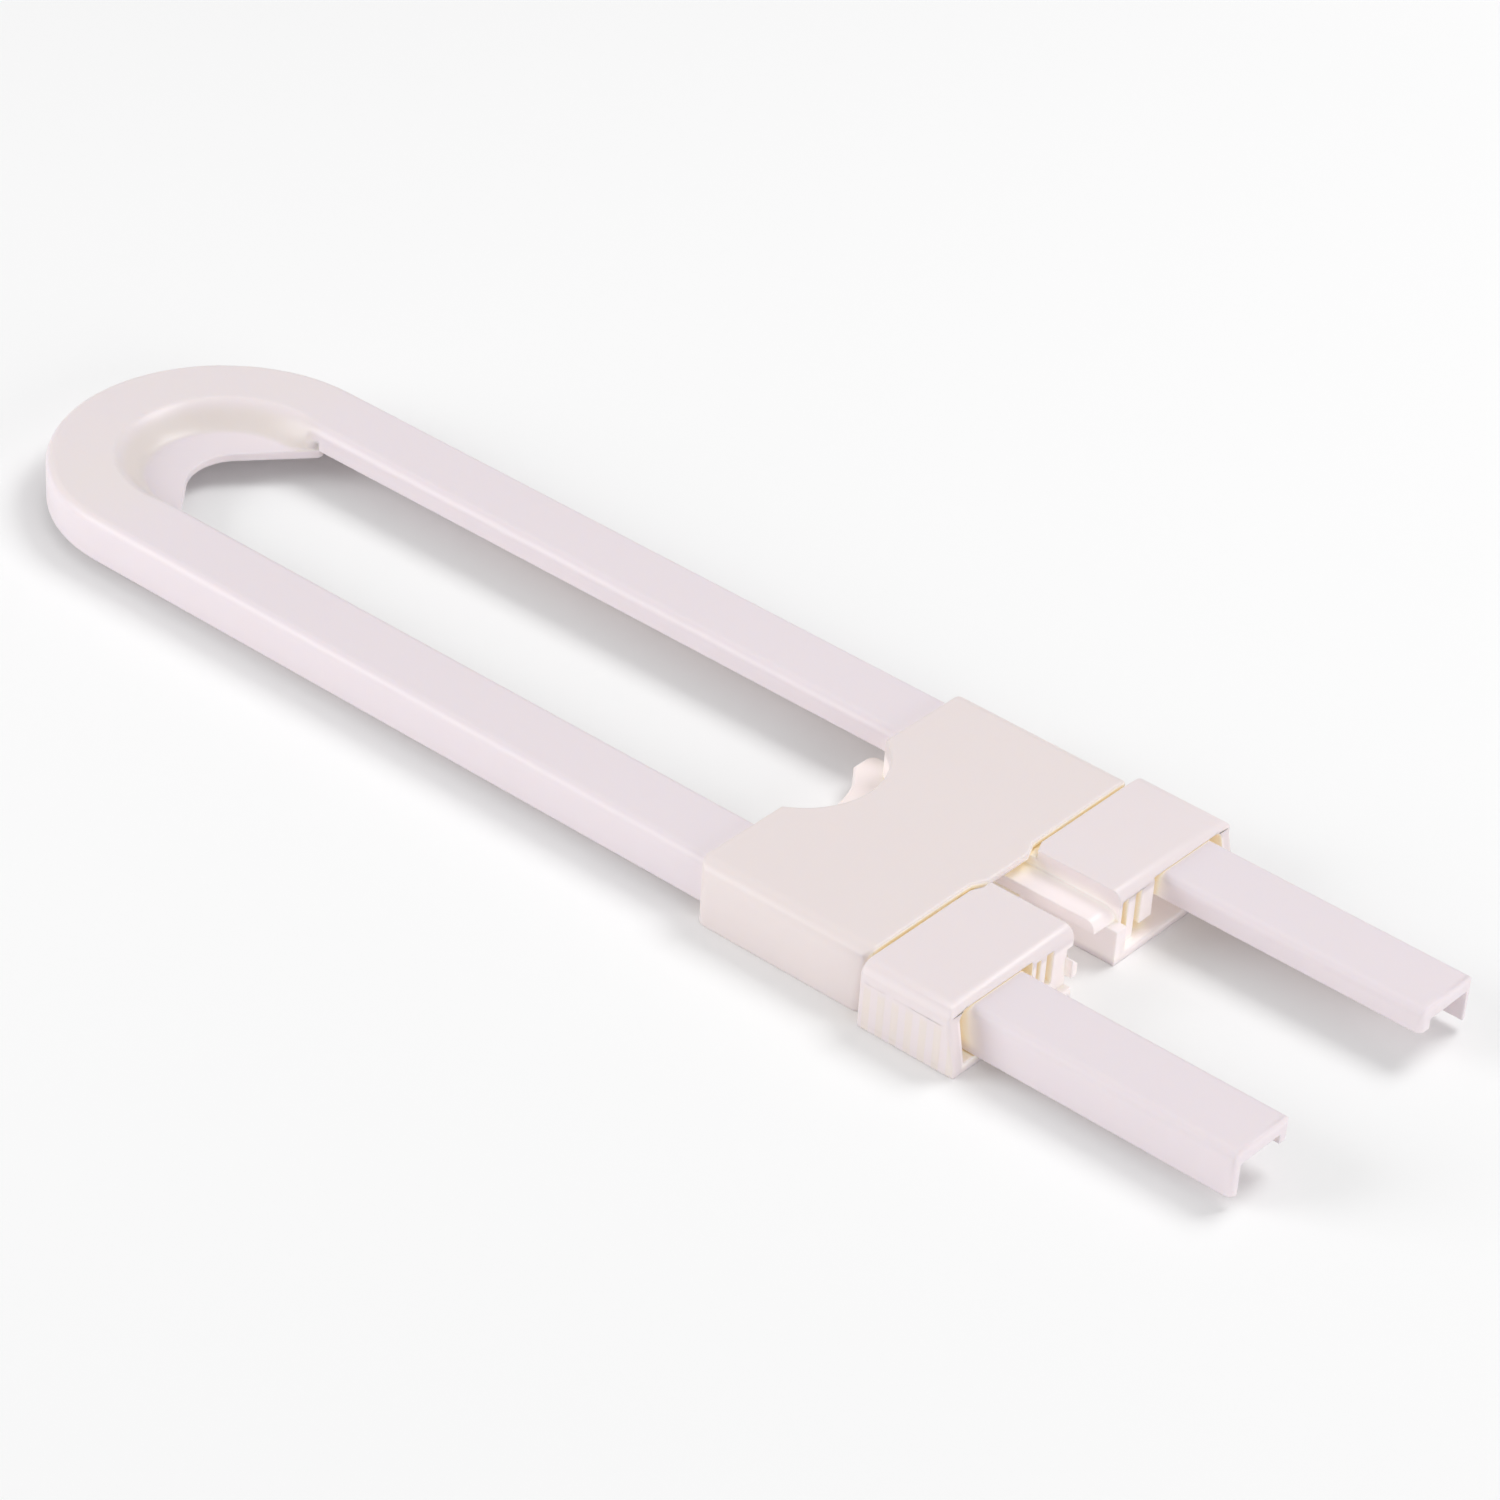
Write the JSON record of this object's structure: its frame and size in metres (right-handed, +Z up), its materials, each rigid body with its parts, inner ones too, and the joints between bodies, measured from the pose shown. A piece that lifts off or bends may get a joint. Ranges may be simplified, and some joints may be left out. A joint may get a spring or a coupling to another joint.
{
  "type": "sliding cabinet lock",
  "caption": "U-shaped sliding cabinet safety lock whose slider runs along two ratcheted arms and is let go by squeezing the spring-loaded buttons at its sides.",
  "frame": {"origin": "below the middle of the lock, on the plane that the slider's flat bottom lies on", "axes": "+X along the arms from the bend to the open ends, +Y across the arms to the far button, +Z up through the top of the slider"},
  "size_m": [0.205, 0.0546, 0.009],
  "materials": {
    "rail_plastic": "milky white moulded plastic, satin",
    "slider_plastic": "milky white moulded plastic, satin",
    "button_plastic": "milky white moulded plastic, satin",
    "spring_steel": "bright spring wire"
  },
  "bodies": {
    "rail": {"u_rail": "rail_plastic"},
    "slider": {"slider_cover": "slider_plastic", "slider_base": "slider_plastic", "return_spring": "spring_steel"},
    "near_squeeze_button": {"near_button": "button_plastic"},
    "far_squeeze_button": {"far_button": "button_plastic"}
  },
  "joints": [
    {"name": "slider_travel", "type": "slide", "parent": "rail", "child": "slider", "axis": [1, 0, 0], "range_m": [-0.093, 0.087]},
    {"name": "near_squeeze", "type": "slide", "parent": "slider", "child": "near_squeeze_button", "axis": [0, 1, 0], "range_m": [0, 0.0016], "stiffness_N_per_m": 800, "springref_m": -0.002, "deforming": ["return_spring"]},
    {"name": "far_squeeze", "type": "slide", "parent": "slider", "child": "far_squeeze_button", "axis": [0, -1, 0], "range_m": [0, 0.0016], "stiffness_N_per_m": 800, "springref_m": -0.002, "deforming": ["return_spring"]}
  ]
}
